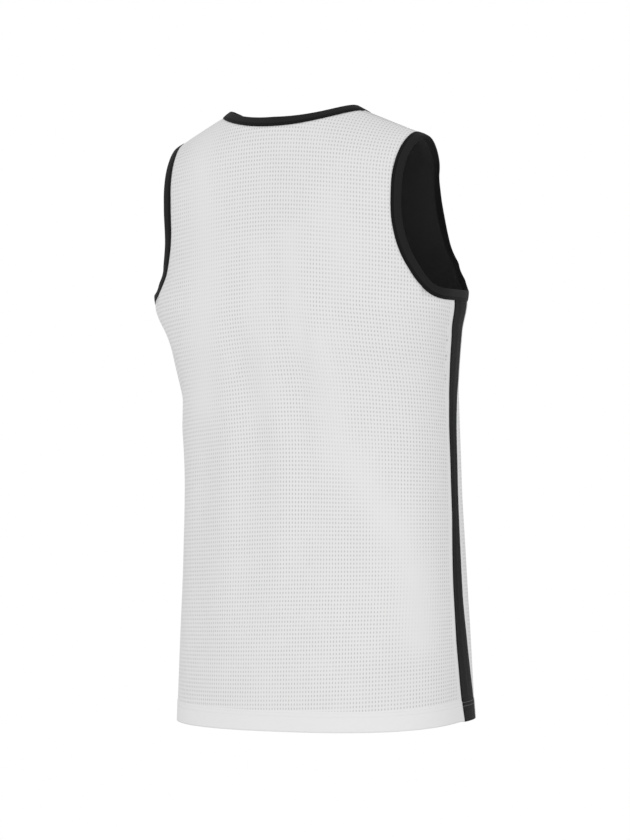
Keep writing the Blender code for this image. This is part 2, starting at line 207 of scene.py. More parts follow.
# Folds: which side, then the two ends of the fold's middle line as the distance round from
# the centre line towards the wearer's left and the height, then its half width and how far
# it stands out. A trough has a height below zero.
FOLDS = (
    # side, u_start, z_start, u_end, z_end, half_width, height
    ("back", 0.002, -0.200, 0.004, -0.610, 0.016, 0.0030),
    ("back", -0.036, -0.240, -0.034, -0.520, 0.015, -0.0026),
    ("back", -0.038, -0.110, -0.102, -0.480, 0.020, 0.0030),
    ("back", 0.044, -0.250, 0.040, -0.560, 0.016, -0.0022),
    ("back", 0.078, -0.220, 0.072, -0.640, 0.018, 0.0022),
    ("back", 0.190, -0.250, 0.178, -0.370, 0.018, -0.0050),
    ("back", -0.110, -0.380, -0.165, -0.470, 0.014, -0.0024),
    ("back", -0.130, -0.300, -0.185, -0.420, 0.016, 0.0018),
    ("back", -0.120, -0.490, -0.190, -0.560, 0.017, 0.0020),
    ("back", -0.085, -0.530, -0.095, -0.700, 0.020, -0.0018),
    ("back", -0.150, -0.560, -0.160, -0.720, 0.020, -0.0018),
    ("back", 0.118, -0.360, 0.125, -0.700, 0.022, -0.0026),
    ("back", 0.030, -0.600, 0.034, -0.730, 0.022, 0.0014),
    ("front", 0.010, -0.190, 0.018, -0.600, 0.018, -0.0030),
    ("front", 0.060, -0.140, 0.048, -0.560, 0.020, 0.0030),
    ("front", -0.050, -0.160, -0.036, -0.640, 0.020, 0.0028),
    ("front", 0.098, -0.210, 0.092, -0.480, 0.016, -0.0024),
    ("front", -0.096, -0.230, -0.104, -0.540, 0.018, -0.0030),
    ("front", 0.140, -0.280, 0.155, -0.440, 0.016, -0.0026),
    ("front", -0.150, -0.250, -0.140, -0.400, 0.017, 0.0022),
    ("front", 0.165, -0.400, 0.130, -0.660, 0.020, 0.0022),
    ("front", -0.170, -0.440, -0.150, -0.700, 0.020, -0.0024),
    ("front", 0.070, -0.600, 0.078, -0.728, 0.022, -0.0016),
    ("front", 0.004, -0.620, -0.006, -0.728, 0.022, 0.0016),
)
# How far a fold's middle line bows, and the height of the slack between the folds.
FOLD_BOW = 0.006
FOLD_SLACK = 0.0003
# Where the pull of the cloth draws the holes closed: like a fold, with its two ends, its half
# width and the share by which the holes there fade.
DRAWN = (
    # side, u_start, z_start, u_end, z_end, half_width, share
    ("back", 0.103, -0.030, 0.088, -0.187, 0.027, 0.68),
    ("back", 0.088, -0.187, 0.112, -0.345, 0.027, 0.68),
    ("back", -0.030, -0.149, -0.039, -0.278, 0.016, 0.62),
    ("back", -0.062, -0.278, -0.073, -0.389, 0.024, 0.58),
    ("back", -0.073, -0.389, -0.132, -0.471, 0.024, 0.58),
    ("back", -0.132, -0.471, -0.168, -0.540, 0.022, 0.65),
    ("back", -0.169, -0.545, -0.177, -0.618, 0.026, 0.90),
    ("back", 0.010, -0.166, 0.019, -0.342, 0.020, 0.40),
    ("back", 0.205, -0.580, 0.200, -0.720, 0.034, 0.85),
    ("back", -0.082, -0.125, -0.100, -0.180, 0.030, 0.40),
    ("front", 0.096, -0.040, 0.082, -0.220, 0.024, 0.60),
    ("front", -0.104, -0.060, -0.088, -0.200, 0.022, 0.50),
    ("front", 0.034, -0.200, 0.050, -0.380, 0.020, 0.55),
    ("front", 0.050, -0.380, 0.112, -0.520, 0.024, 0.60),
    ("front", -0.060, -0.300, -0.075, -0.430, 0.022, 0.45),
    ("front", -0.150, -0.520, -0.160, -0.640, 0.026, 0.75),
)
# The rows of the knit: how far above the hem they leave it, their lean below, how they drop
# towards the armholes above, and the height above which they follow the shoulders' rounding.
# Above ROUND_TOP, the way round the form is measured as it is at that height.
ROW_LEVEL = 0.14
ROW_LEAN = 0.035
ROW_DROP = 0.105
ROW_DROP_START = 0.04
ROW_DROP_FROM = -0.66
ROW_DROP_OVER = 0.45
ROUNDED_FROM = -0.16
ROUND_TOP = -0.12

# The stage: the middle of the view, how much higher the camera stands, the floor, the share
# of light from all round, and each soft light's direction to the right, up and towards the
# camera, then its distance, its size and its power.
VIEW_MIDDLE = Vector((-0.0206, -0.0119, -0.365))
CAMERA_RISE = -0.065
FLOOR_RADIUS = 1.5
AMBIENT = 0.781
LIGHTS = (
    ("key_light", (0.10, 0.05, 1.0), 3.6, 2.4, 24.0),
    ("low_light", (-0.30, -0.36, 1.0), 0.66, 0.5, 0.22),
    ("side_light", (-1.0, 0.25, 0.35), 3.2, 1.8, 6.0),
)


# ---------------------------------------------------------------- the form


def table_value(table, columns, column, z):
    """One column of a table at the heights z, along a curve that never overshoots its rows."""
    rows = table[::-1]
    x = rows[:, 0]
    y = rows[:, columns.index(column)]
    width = np.diff(x)
    slope = np.diff(y) / width
    same_way = slope[:-1] * slope[1:] > 0
    left, right = 2 * width[1:] + width[:-1], width[1:] + 2 * width[:-1]
    joined = np.where(same_way, slope[:-1], 1.0), np.where(same_way, slope[1:], 1.0)
    middle = np.where(same_way, (left + right) / (left / joined[0] + right / joined[1]), 0.0)
    tangent = np.concatenate([slope[:1], middle, slope[-1:]])
    z = np.clip(z, x[0], x[-1])
    k = np.clip(np.searchsorted(x, z) - 1, 0, len(width) - 1)
    t = (z - x[k]) / width[k]
    return (
        y[k] * (1 + 2 * t) * (1 - t) ** 2
        + tangent[k] * width[k] * t * (1 - t) ** 2
        + y[k + 1] * t**2 * (3 - 2 * t)
        + tangent[k + 1] * width[k] * t**2 * (t - 1)
    )


def form_value(column, z):
    return table_value(FORM, FORM_COLUMNS, column, z)


def strip_value(column, z):
    return float(table_value(STRIP, STRIP_COLUMNS, column, z))


def ridge_z(x):
    """Height of the shoulder line at x, carried on across the neck."""
    return -SHOULDER_DROP * (x - NECK_HALF_WIDTH) / (SHOULDER_HALF_WIDTH - NECK_HALF_WIDTH)


def ridge_y(x):
    return -SHOULDER_FORWARD * (x - NECK_HALF_WIDTH) / (SHOULDER_HALF_WIDTH - NECK_HALF_WIDTH)


def unit(vectors):
    return vectors / np.linalg.norm(vectors, axis=-1, keepdims=True)


def smooth(t):
    t = np.clip(t, 0, 1)
    return t * t * (3 - 2 * t)


def rounding(side, x, z):
    """Share of the form's full depth that is reached at x and z, below the shoulder line."""
    outward = smooth((x - ROUND_FROM) / (ROUND_TO - ROUND_FROM))
    radius = NECK_ROUND[side] + (ARM_ROUND[side] - NECK_ROUND[side]) * outward
    down = np.clip((ridge_z(x) - z) / radius, 0, 1)
    return np.sqrt(1 - (1 - down) ** 2)


def full_y(side, x, z):
    """How far out the form would lie at x and z without its shoulder rounding."""
    power = form_value(side + "_power", z)
    widest = form_value("side_y", z)
    inside = np.clip(x / form_value("half_width", z), 0, 1) ** power
    return widest + (form_value(side + "_y", z) - widest) * (1 - inside) ** (1 / power)


def form_y(side, x, z):
    """How far back (side "back") or forward (side "front") the form lies at x and z."""
    return ridge_y(x) + (full_y(side, x, z) - ridge_y(x)) * rounding(side, x, z)


def form_level(side, places):
    """Below 1 inside the form, 1 on it and above 1 outside it."""
    x, y, z = np.moveaxis(places, -1, 0)
    power = form_value(side + "_power", z)
    widest = form_value("side_y", z)
    full = ridge_y(x) + (y - ridge_y(x)) / np.maximum(rounding(side, x, z), NUDGE)
    depth = np.abs(full - widest) / np.abs(form_value(side + "_y", z) - widest)
    return np.abs(x / form_value("half_width", z)) ** power + depth**power


def form_normal(side, places):
    """Outward normals of the form, which on the shoulder line point up and out."""
    slopes = [
        form_level(side, places + way) - form_level(side, places - way) for way in NUDGE * np.eye(3)
    ]
    normal = unit(np.stack(slopes, axis=-1))
    fall = SHOULDER_DROP / (SHOULDER_HALF_WIDTH - NECK_HALF_WIDTH)
    on_ridge = ridge_z(places[..., 0]) - places[..., 2] < 10 * NUDGE
    normal[on_ridge] = unit(np.array([fall, 0.0, 1.0]))
    return normal


# ---------------------------------------------------------------- the cut of the panels


def top_z(side, x):
    """Top edge of a panel: its neckline, then its shoulder seam."""
    drop = {"back": BACK_NECK_DROP, "front": FRONT_NECK_DROP}[side]
    power = {"back": BACK_NECK_POWER, "front": FRONT_NECK_POWER}[side]
    inside = np.clip(x / NECK_HALF_WIDTH, 0, 1)
    return np.where(x < NECK_HALF_WIDTH, -drop * (1 - inside**power), ridge_z(x))


def level_ring(side, z, across):
    """Points of half a level section, at the angles across, from its middle to its side."""
    out = form_value("half_width", z)
    power = form_value(side + "_power", z)
    widest = form_value("side_y", z)
    x = out * np.sin(across) ** (2 / power)
    y = widest + (form_value(side + "_y", z) - widest) * np.cos(across) ** (2 / power)
    return np.stack([x, y, z + 0 * x], axis=-1)


def closed_loop(points):
    """A run of points that ends at its first one again."""
    return np.concatenate([points, points[:1]])


def run_lengths(points):
    """How far along a run each of its points lies."""
    steps = np.linalg.norm(np.diff(points, axis=0), axis=1)
    return np.concatenate([[0.0], np.cumsum(steps)])


def values_at(wanted, along, values):
    """Vectors at the wanted lengths, between the values that lie at the lengths along."""
    return np.stack([np.interp(wanted, along, values[:, k]) for k in range(3)], axis=-1)


def cut_run(points, start, end, fractions):
    """The points at the given fractions of the stretch from start to end along a run."""
    along = run_lengths(points)
    return values_at(start + (end - start) * np.asarray(fractions), along, points)


def hem_z(side, across):
    length = BACK_LENGTH if side == "back" else FRONT_LENGTH
    return -length + (length - SIDE_LENGTH) * across**2


def bezier(start, pull_start, pull_end, end, count=160):
    t = np.linspace(0, 1, count)[:, None]
    return (
        (1 - t) ** 3 * np.array(start)
        + 3 * t * (1 - t) ** 2 * np.array(pull_start)
        + 3 * t**2 * (1 - t) * np.array(pull_end)
        + t**3 * np.array(end)
    )


def body_row(side, share):
    """A row between the strips: share is 0 at the hem and 1 at the underarm."""
    angle = np.linspace(0, np.pi / 2, FINE)
    z = hem_z(side, angle / angle[-1])
    z = z + (-UNDERARM_DROP - z) * share
    return level_ring(side, z, angle)


def side_level(share):
    """Height of the side line on the row at that share from hem to underarm."""
    return -SIDE_LENGTH + (SIDE_LENGTH - UNDERARM_DROP) * share


def side_end(side, share):
    """How far past the widest line a panel's side edge lies, short of it being below zero."""
    if side == "back":
        return strip_value("start", side_level(share)) - SEAM_GAP
    return -strip_value("end", side_level(share)) - SEAM_GAP


def body_shares():
    """Shares of the rows between hem and underarm, close together in the turned hem."""
    hem = np.linspace(0, HEM_SHARE, HEM_ROWS + 1)
    return np.concatenate([hem, np.linspace(HEM_SHARE, 1, ROWS_BELOW - HEM_ROWS + 1)[1:]])


def whole_ring(first, share):
    """A row of one side from its middle out, carried on over the widest line to the other.

    It also returns how far along it the widest line lies.
    """
    other = {"back": "front", "front": "back"}[first]
    row = body_row(first, share)
    return np.concatenate([row, body_row(other, share)[-2::-1]]), run_lengths(row)[-1]


def armhole_run(side):
    """The armhole seam on the form, from the underarm to the shoulder."""
    cut = ARMHOLE[side]
    ring, widest = whole_ring(side, 1.0)
    corner = cut_run(ring, 0, widest + side_end(side, 1.0), [1.0])[0]
    lower = bezier(
        (corner[0], -UNDERARM_DROP),
        (cut["floor_x"], -UNDERARM_DROP),
        (cut["waist_x"], cut["floor_rise"]),
        (cut["waist_x"], cut["waist_z"]),
    )
    upper = bezier(
        (cut["waist_x"], cut["waist_z"]),
        (cut["waist_x"], cut["crown_rise"]),
        (cut["crown_x"], cut["crown_z"]),
        (SHOULDER_HALF_WIDTH, -SHOULDER_DROP),
    )
    x, z = np.concatenate([lower, upper[1:]]).T
    run = np.stack([x, form_y(side, x, z), z], axis=-1)
    run[0] = corner
    return run


def armhole_halves(side):
    """The armhole seam in two runs that meet at its turn: down to the strip, and up."""
    seam = armhole_run(side)
    turn = int(np.argmax(seam[:, 2] > TURN_RISE - UNDERARM_DROP))
    return seam[turn::-1], seam[turn:]


def shoulder_row(side, rising, share, across):
    """Points of a row above the turn; share runs up the armhole seam from there.

    across runs along the top edge: 0 at the middle, NECK_SHARE at the neck point, 1 at the arm.
    """
    edge = cut_run(rising, 0, run_lengths(rising)[-1], [share])[0]
    low = rising[0, 2]
    beyond = np.clip((across - NECK_SHARE) / (1 - NECK_SHARE), 0, 1)
    neck_x = NECK_HALF_WIDTH * (1 + NECK_SPREAD * (1 - share))
    x = np.minimum(across / NECK_SHARE, 1) * neck_x + (edge[0] - neck_x) * beyond
    climb = share + ((edge[2] - low) / (-SHOULDER_DROP - low) - share) * beyond
    z = low + (top_z(side, SHOULDER_HALF_WIDTH * across) - low) * climb
    return np.stack([x, form_y(side, x, z), z], axis=-1)


def lift_hem(places, share):
    """Places with the hem raised by a share of HEM_LIFT, fading out up the cloth."""
    above = places[..., 2] - places[:1, :, 2]
    lift = HEM_LIFT * share * (1 - smooth(above / HEM_LIFT_OVER))
    return places + lift[..., None] * np.array([0.0, 0.0, 1.0])


def half_panel(side):
    """Places and outward normals of half a panel on +X, hem row first, nan past the armhole."""
    falling, rising = armhole_halves(side)
    across = np.linspace(0, 1, FINE)
    along = run_lengths(shoulder_row(side, rising, 1.0, across))
    columns = np.interp(np.linspace(0, along[-1], COLUMNS[side] + 1), along, across)
    columns[np.argmin(np.abs(columns - NECK_SHARE))] = NECK_SHARE
    outer = cut_run(falling, 0, run_lengths(falling)[-1], np.linspace(0, 1, OUTER_COLUMNS + 1)[1:])
    turn = np.concatenate([shoulder_row(side, rising, 0.0, columns), outer])
    fractions = run_lengths(turn) / run_lengths(turn)[-1]
    rows = []
    for share in body_shares()[:-1]:
        ring, widest = whole_ring(side, share)
        rows.append(cut_run(ring, 0, widest + side_end(side, share), fractions))
    rows.append(turn)
    beyond = np.full((OUTER_COLUMNS, 3), np.nan)
    for share in np.linspace(0, 1, ROWS_ABOVE + 1)[1:]:
        rows.append(np.concatenate([shoulder_row(side, rising, share, columns), beyond]))
    places = np.array(rows)
    if side == "front":
        # The hem's outer ends rise to meet the strips.
        places = lift_hem(places, fractions**4)
    normals = form_normal(side, places)
    normals[:, 0, 0] = 0
    return places, unit(normals)


def half_strip():
    """Places and outward normals of the strip on +X, hem row first, back edge first."""
    places = []
    across = np.linspace(0, 1, ACROSS_STRIP + 1)
    for share in body_shares():
        ring, widest = whole_ring("back", share)
        start, end = (widest + strip_value(edge, side_level(share)) for edge in ("start", "end"))
        places.append(cut_run(ring, start, end, across))
    places = lift_hem(np.array(places), across)
    return places, form_normal("front", places)


def mirrored(grid):
    """A half grid joined to its mirror image across x = 0."""
    return np.concatenate([grid[:, :0:-1] * MIRROR, grid], axis=1)


# ---------------------------------------------------------------- the drape


def round_length(side, places):
    """Distance round the form from the centre line, at each place's own height."""
    z = np.minimum(places[..., 2], ROUND_TOP)
    steps = np.linspace(0, 1, 33)
    x = np.abs(places[..., 0])[..., None] * steps
    y = full_y(side, x, z[..., None])
    length = np.hypot(np.diff(x, axis=-1), np.diff(y, axis=-1)).sum(axis=-1)
    return np.sign(places[..., 0]) * length


def rounded_length(side, places):
    """How much longer the way up the rounded shoulders is than the height it gains."""
    x = np.abs(places[..., 0])[..., None]
    top = np.maximum(places[..., 2], ROUNDED_FROM)[..., None]
    z = ROUNDED_FROM + (top - ROUNDED_FROM) * np.linspace(0, 1, 41)
    steps = np.hypot(np.diff(form_y(side, x, z), axis=-1), np.diff(z, axis=-1))
    return steps.sum(axis=-1) - (top - ROUNDED_FROM)[..., 0]


def knit_chart(side, places):
    """Where each place lies on the knit: round from the centre line, and up from the hem.

    The rows of holes follow the hem low down, and drop towards the armholes high up.
    """
    u = round_length(side, places)
    z = places[..., 2]
    lowest = hem_z(side, 0.0)
    follow = 1 - smooth((z - lowest) / ROW_LEVEL)
    drop = np.sqrt(u**2 + ROW_DROP_START**2) - ROW_DROP_START
    high = smooth((z - ROW_DROP_FROM) / ROW_DROP_OVER)
    up = z - lowest - (places[:1, :, 2] - lowest) * follow + rounded_length(side, places)
    return np.stack([u, up + ROW_DROP * drop * high + ROW_LEAN * u * (1 - high)], axis=-1)


def fold_height(side, places, depth):
    """How far the folds move each place out along the form."""
    u = round_length(side, places)
    z = places[..., 2]
    # A fold rises over its first third and dies away over its last, and bows on the way.
    total = np.zeros_like(u)
    for of_side, u_start, z_start, u_end, z_end, half_width, height in FOLDS:
        if of_side != side:
            continue
        line = np.array([u_end - u_start, z_end - z_start])
        length = np.hypot(*line)
        along = ((u - u_start) * line[0] + (z - z_start) * line[1]) / length**2
        bow = FOLD_BOW * np.sin(7 * along + 40 * u_start)
        away = ((u - u_start) * line[1] - (z - z_start) * line[0]) / length + bow
        ends = smooth((along + 0.08) / 0.36) * (1 - smooth((along - 0.66) / 0.42))
        total += height * np.exp(-((away / half_width) ** 2)) * ends
    # Slow waves over the whole cloth, so that it isn't flat between the folds.
    slack = np.sin(41 * u + 9 * z + 1.3) * np.sin(17 * z + 11 * u) + 0.6 * np.sin(63 * u - 23 * z)
    return depth * (total + FOLD_SLACK * slack)


def drawn_closed(side, places):
    """The share by which the holes fade at each place."""
    u = round_length(side, places)
    z = places[..., 2]
    closed = np.zeros_like(u)
    for of_side, u_start, z_start, u_end, z_end, half_width, share in DRAWN:
        if of_side != side:
            continue
        line = np.array([u_end - u_start, z_end - z_start])
        along = np.clip(((u - u_start) * line[0] + (z - z_start) * line[1]) / line.dot(line), 0, 1)
        away = np.hypot(u - u_start - along * line[0], z - z_start - along * line[1])
        closed = np.fmax(closed, share * np.exp(-((away / half_width) ** 2)))
    return closed


def hem_rise(above_hem, hem_height):
    """How far the turned hem stands out at each height above its lower edge."""
    return HEM_RISE * (1 - smooth((above_hem - hem_height) / HEM_STEP))


def seam_distance(places, seams):
    """Distance from each place to the nearest point of the seams on either half."""
    tree = kdtree.KDTree(2 * len(seams))
    for sign in (-1, 1):
        for point in seams:
            tree.insert((sign * point[0], point[1], point[2]), 0)
    tree.balance()
    flat = places.reshape(-1, 3)
    found = [np.nan if np.isnan(point[0]) else tree.find(point)[2] for point in flat]
    return np.array(found).reshape(places.shape[:-1])


class ClothPanel:
    """The grids of one panel, from side to side: places on the form, normals and charts."""

    def __init__(self, side, fold_depth, hem_height):
        self.half = half_panel(side)
        self.turn = COLUMNS[side]
        self.places, self.normals = (mirrored(grid) for grid in self.half)
        half, _ = self.half
        side_edge, top_edge = half[: ROWS_BELOW + 1, -1], half[-1, : self.turn + 1]
        arm_floor, arm_side = half[ROWS_BELOW, self.turn :], half[ROWS_BELOW:, self.turn]
        seams = np.concatenate([arm_floor, arm_side, side_edge, top_edge])
        to_seam = seam_distance(self.places, seams)
        to_side = seam_distance(self.places, side_edge)
        above_hem = self.places[..., 2] - self.places[:1, :, 2]
        closed = drawn_closed(side, self.places)
        self.charts = {
            "knit": knit_chart(side, self.places),
            "edges": np.stack([to_side, above_hem], axis=-1),
            "drawn": np.stack([closed, closed], axis=-1),
        }
        folds = fold_height(side, self.places, fold_depth) * smooth(to_seam / FOLD_FADE)
        welt = WELT_RISE * np.exp(-(((to_side - WELT_PLACE) / WELT_PLACE) ** 2))
        self.rise = folds + hem_rise(above_hem, hem_height) + welt

    def surface(self, depth):
        """The places of a layer that lies depth under the panel's outer face."""
        return self.places + self.normals * (self.rise - depth)[..., None]

    def flat_size(self):
        """Width, length and area of the panel laid flat."""
        cloth = self.surface(0.0)
        along = np.linalg.norm(np.diff(cloth, axis=0), axis=-1)
        across = np.linalg.norm(np.diff(cloth, axis=1), axis=-1)
        width = float(np.nansum(across, axis=1).max())
        length = float(np.nansum(along, axis=0).max())
        return (width, length), float(np.nansum(along[:, :-1] * across[:-1]))


@functools.cache
def cloth_panels(fold_depth, hem_height):
    return {side: ClothPanel(side, fold_depth, hem_height) for side in ("back", "front")}


def arm_edge(back, front):
    """Places and normals round the armhole on +X, from the strip up the back."""
    loops = []
    for grids in zip(back.half, front.half):
        runs = [
            np.concatenate([grid[ROWS_BELOW, : panel.turn : -1], grid[ROWS_BELOW:, panel.turn]])
            for grid, panel in zip(grids, (back, front))
        ]
        loops.append(np.concatenate([runs[0], runs[1][-2::-1]]))
    return loops


def neck_edge(back, front):
    """Places and normals round the neckline, from the middle of the back by +X."""
    points = [
        int(np.nanargmin(np.abs(panel.half[0][-1, :, 0] - NECK_HALF_WIDTH)))
        for panel in (back, front)
    ]
    loops = []
    for grids in zip(back.half, front.half):
        runs = [grid[-1, : point + 1] for grid, point in zip(grids, points)]
        half = np.concatenate([runs[0], runs[1][-2::-1]])
        loops.append(np.concatenate([half, half[-2:0:-1] * MIRROR]))
    return loops


# ---------------------------------------------------------------- mesh making


def finish_mesh(name, builder, finish, node=None):
    """Turn a bmesh into an object that rides on the jersey."""
    mesh = bpy.data.meshes.new(name)
    builder.to_mesh(mesh)
    builder.free()
    mesh.materials.append(finish)
    mesh.shade_smooth()
    piece = bpy.data.objects.new(name, mesh)
    bpy.context.scene.collection.objects.link(piece)
    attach(piece, "root")
    if node:
        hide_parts(node)
    return piece


def cloth_sheet(places, normals, charts):
    """An open sheet through a grid of places, facing out, with a UV map for each chart."""
    rows, columns = places.shape[:2]
    builder = bmesh.new()
    bmesh.ops.create_grid(builder, x_segments=columns - 1, y_segments=rows - 1, size=1.0)
    layer = builder.verts.layers.int.new("place")
    builder.verts.ensure_lookup_table()
    for index, vert in enumerate(builder.verts):
        vert[layer] = index
    flat = places.reshape(-1, 3)
    absent = [vert for vert in builder.verts if np.isnan(flat[vert[layer]]).any()]
    bmesh.ops.delete(builder, geom=absent, context="VERTS")
    for vert in builder.verts:
        vert.co = flat[vert[layer]]
    builder.normal_update()
    builder.faces.ensure_lookup_table()
    first = builder.faces[0]
    outward = Vector(normals.reshape(-1, 3)[first.verts[0][layer]])
    if first.normal.dot(outward) < 0:
        bmesh.ops.reverse_faces(builder, faces=builder.faces[:])
    for name, chart in charts.items():
        uv = builder.loops.layers.uv.new(name)
        values = chart.reshape(-1, 2)
        for face in builder.faces:
            for loop in face.loops:
                loop[uv].uv = values[loop.vert[layer]]
    return builder


def thicken(piece, wall):
    """Give an open sheet its thickness, inwards from the face that shows."""
    solidify = piece.modifiers.new("Wall", "SOLIDIFY")
    solidify.thickness = wall
    solidify.offset = -1.0
    solidify.use_even_offset = False


def edge_ways(edge, normals, centre, stand):
    """Unit vectors from a closed edge to its opening, square to the edge.

    They lie on the cloth, but for how far the binding stands away from the wearer.
    """
    tangents = unit(np.roll(edge, -1, axis=0) - np.roll(edge, 1, axis=0))
    ways = unit(np.cross(tangents, normals))
    towards = np.einsum("ij,ij->i", ways, centre - edge)
    return unit(ways * np.sign(towards)[:, None] + normals * np.reshape(stand, (-1, 1)))


def neck_stand(edge):
    """How far the neck's binding stands away from the wearer at each place of its seam."""
    return NECK_STAND * (1 - 2 * np.clip(np.abs(edge[:, 0]) / NECK_HALF_WIDTH, 0, 1) ** 4)


def armhole_stand(edge):
    """How far an armhole's binding stands away from the wearer at each place of its seam."""
    z = edge[:, 2]
    back = smooth((edge[:, 1] - form_value("side_y", z)) / STAND_TURN + 0.5)
    stand = [table_value(STAND, STAND_COLUMNS, side, z) for side in ("back", "front")]
    return stand[1] + (stand[0] - stand[1]) * back


def binding_section(sizes):
    """A folded band's section: how far across the band, and how far out from the cloth."""
    near, far, rim_length = BINDING_START, BINDING_END, BINDING_RIM
    top, bottom = sizes.binding_proud, -WHOLE_WALL - BINDING_BEHIND
    middle, half_wall = (top + bottom) / 2, (top - bottom) / 2
    bend = np.linspace(-np.pi / 2, np.pi / 2, 7)
    round_out, round_up = np.cos(bend), middle + half_wall * np.sin(bend)
    flat = np.linspace(0, 1, 8)[1:-1]
    crown = np.sin(np.pi * flat)
    across = near + rim_length / 2 + (far - near - 1.5 * rim_length) * flat
    upper = np.stack([across, top + BINDING_CROWN * crown], axis=-1)
    rim = np.stack([far - rim_length * (1 - round_out[::-1]), round_up[::-1]], axis=-1)
    lower = np.stack([across[::-1], bottom - BINDING_INNER_CROWN * crown], axis=-1)
    start = np.stack([near + rim_length / 2 * (1 - round_out), round_up], axis=-1)
    return np.concatenate([upper, rim, lower, start])


def binding_band(edge, normals, ways, sizes):
    """A closed band round an opening, with its length and its girth as the knit chart."""
    section = binding_section(sizes)
    across, out = section[None, :, :1], section[None, :, 1:]
    stations = edge[:, None] + ways[:, None] * across + normals[:, None] * out
    closed = closed_loop(stations)
    closed = np.concatenate([closed, closed[:, :1]], axis=1)
    along = run_lengths(closed_loop(edge))
    girth = run_lengths(closed_loop(section))
    chart = np.stack(np.meshgrid(girth, along), axis=-1)
    outward = np.tile(normals[:1, None], (len(closed), closed.shape[1], 1))
    builder = cloth_sheet(closed, outward, {"knit": chart})
    bmesh.ops.remove_doubles(builder, verts=builder.verts[:], dist=1e-6)
    bmesh.ops.recalc_face_normals(builder, faces=builder.faces[:])
    if builder.calc_volume(signed=True) < 0:
        bmesh.ops.reverse_faces(builder, faces=builder.faces[:])
    return builder


def add_stitches(builder, run, normals, sizes):
    """A row of machine stitches along a run of places, half sunk in the cloth."""
    pitch = sizes.stitch_length
    along = run_lengths(run)
    count = int(along[-1] / pitch)
    middles = (np.arange(count) + 0.5) / count
    centres = cut_run(run, 0, along[-1], middles)
    ends = cut_run(run, 0, along[-1], (np.arange(count) + 0.6) / count)
    ups = values_at(middles * along[-1], along, normals)
    half_width = sizes.thread_width / 2
    size = Matrix.Diagonal((pitch * STITCH_SHARE, half_width, half_width, 1.0))
    for centre, end, up in zip(centres, ends, unit(ups)):
        way = Vector(end - centre).normalized()
        out = Vector(up)
        across = out.cross(way).normalized()
        turn = Matrix((way, across, way.cross(across))).transposed().to_4x4()
        bmesh.ops.create_uvsphere(
            builder, u_segments=6, v_segments=4, radius=1.0,
            matrix=Matrix.Translation(Vector(centre)) @ turn @ size,
        )


# ---------------------------------------------------------------- finishes


class Shade:
    """A value in a material. Arithmetic on it adds Math nodes to the same material."""

    def __init__(self, tree, socket=None):
        self.tree = tree
        self.socket = socket

    def add(self, kind, settings=None, values=None, result=0):
        """A new node of that kind, with its settings and then its sockets' values or links."""
        node = self.tree.nodes.new("ShaderNode" + kind)
        for name, value in (settings or {}).items():
            setattr(node, name, value)
        for place, value in (values or {}).items():
            if isinstance(value, Shade):
                self.tree.links.new(value.socket, node.inputs[place])
            else:
                node.inputs[place].default_value = value
        return Shade(self.tree, node.outputs[result])

    def math(self, operation, *others):
        return self.add("Math", {"operation": operation}, dict(enumerate((self, *others))))

    def ramp(self, low, high, to_low=0.0, to_high=1.0):
        """A soft step from to_low to to_high as this value goes from low to high."""
        values = {"From Min": low, "From Max": high, "To Min": to_low, "To Max": to_high}
        settings = {"interpolation_type": "SMOOTHSTEP"}
        return self.add("MapRange", settings, {"Value": self, **values})

    def mix(self, low, high):
        """A colour between low and high by this value."""
        return self.add("Mix", {"data_type": "RGBA"}, {0: self, 6: low, 7: high}, 2)

    def split(self):
        """The first two parts of a vector."""
        return [self.add("SeparateXYZ", None, {0: self}, part) for part in (0, 1)]

    def __add__(self, other):
        return self.math("ADD", other)

    def __sub__(self, other):
        return self.math("SUBTRACT", other)

    def __rsub__(self, other):
        return self.math("MULTIPLY", -1.0) + other

    def __mul__(self, other):
        return self.math("MULTIPLY", other)

    def __truediv__(self, other):
        return self.math("DIVIDE", other)

    def __pow__(self, other):
        return self.math("POWER", other)

    __radd__ = __add__
    __rmul__ = __mul__


def new_finish(name, colour, roughness, sheen=0.0, specular=0.3):
    """A material with its constant values, its shader and a Shade to start from."""
    finish = bpy.data.materials.new(name)
    finish.use_nodes = True
    finish.diffuse_color = colour
    tree = finish.node_tree
    shader = tree.nodes["Principled BSDF"]
    shader.inputs["Base Color"].default_value = colour
    shader.inputs["Roughness"].default_value = roughness
    shader.inputs["Specular IOR Level"].default_value = specular
    shader.inputs["Sheen Weight"].default_value = sheen
    shader.inputs["Sheen Roughness"].default_value = 0.5
    return finish, shader, Shade(tree)


def dress(shader, start, colour=None, roughness=None, height=None, relief=0.0003):
    """Join what changes over the surface to the shader; height is from 0 to 1 of the relief."""
    links = start.tree.links
    if colour:
        links.new(colour.socket, shader.inputs["Base Color"])
    if roughness:
        links.new(roughness.socket, shader.inputs["Roughness"])
    if height:
        bump = start.add("Bump", None, {"Strength": 1.0, "Distance": relief, "Height": height})
        links.new(bump.socket, shader.inputs["Normal"])


def tinted(colour, share):
    """A colour with its red, green and blue multiplied by share."""
    return tuple(channel * share for channel in colour[:3]) + (1.0,)


def knit_noise(chart, start, across, up, detail=2.0):
    """Soft uneven values over the knit, of that grain across and up."""
    spread = start.add("Mapping", None, {"Vector": chart, "Scale": (1 / across, 1 / up, 1.0)})
    values = {"Vector": spread, "Scale": 1.0, "Detail": detail}
    return start.add("TexNoise", {"noise_dimensions": "2D"}, values)


def tone(shade, colour, spread):
    """A colour that varies by spread to either side with a value from 0 to 1."""
    return shade.mix(tinted(colour, 1 - spread), tinted(colour, 1 + spread))


def waves(value, pitch):
    """A smooth wave from 0 to 1 along a value, of that pitch."""
    return (value * (2 * np.pi / pitch)).math("SINE") * 0.5 + 0.5


